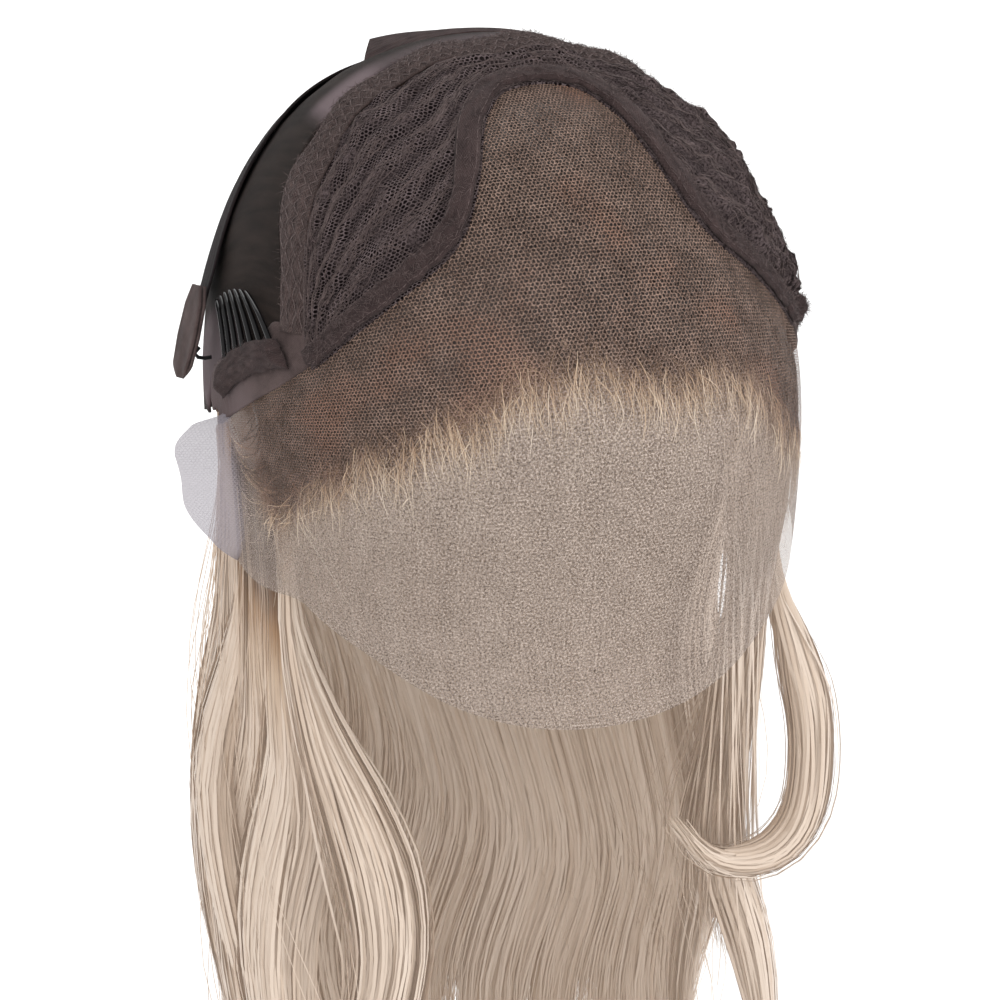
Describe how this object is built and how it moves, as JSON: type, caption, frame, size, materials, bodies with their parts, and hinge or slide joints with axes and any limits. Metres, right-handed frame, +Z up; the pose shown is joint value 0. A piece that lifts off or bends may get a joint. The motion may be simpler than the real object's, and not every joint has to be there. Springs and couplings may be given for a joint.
{
  "type": "lace wig",
  "caption": "Long wavy lace-front wig held in its worn form and turned inside out: sheer lace front, wefted crown panel, stretch back, side combs, elastic strap and hanging blond hair.",
  "frame": {"origin": "where the crown of a head meets the hair inside the cap", "axes": "+Z up, the face side towards -Y, the wearer's side that is on the left in the picture towards -X"},
  "size_m": [0.1923, 0.196, 0.4212],
  "materials": {
    "lace": "sheer brown hexagonal net",
    "root_hair": "dark root hair fading to gold and blond at the hairline",
    "weft_net": "brown net over rows of sewn wefts",
    "tape": "brown woven binding tape",
    "seam": "fuzzy stitched brown band",
    "stretch_cloth": "smooth dark brown stretch cloth",
    "tab": "plain brown cloth",
    "elastic": "dark woven elastic",
    "comb": "glossy black",
    "hook": "black coated wire",
    "hair": "silky platinum blond fibre with darker roots"
  },
  "bodies": {
    "root": {"front_lace": "lace", "lace_hair": "root_hair", "crown_panel": "weft_net", "lace_binding": "tape", "crown_seam": "seam", "back_panel": "stretch_cloth", "ear_tab_left": "tab", "ear_tab_right": "tab", "comb_left": "comb", "comb_right": "comb", "comb_tape_left": "tape", "comb_tape_right": "tape", "strap_end_left": "tab", "strap_end_right": "tab", "strap_hook_left": "hook", "strap_hook_right": "hook", "elastic_strap": "elastic", "crown_tape": "elastic", "hair": "hair"}
  },
  "joints": []
}
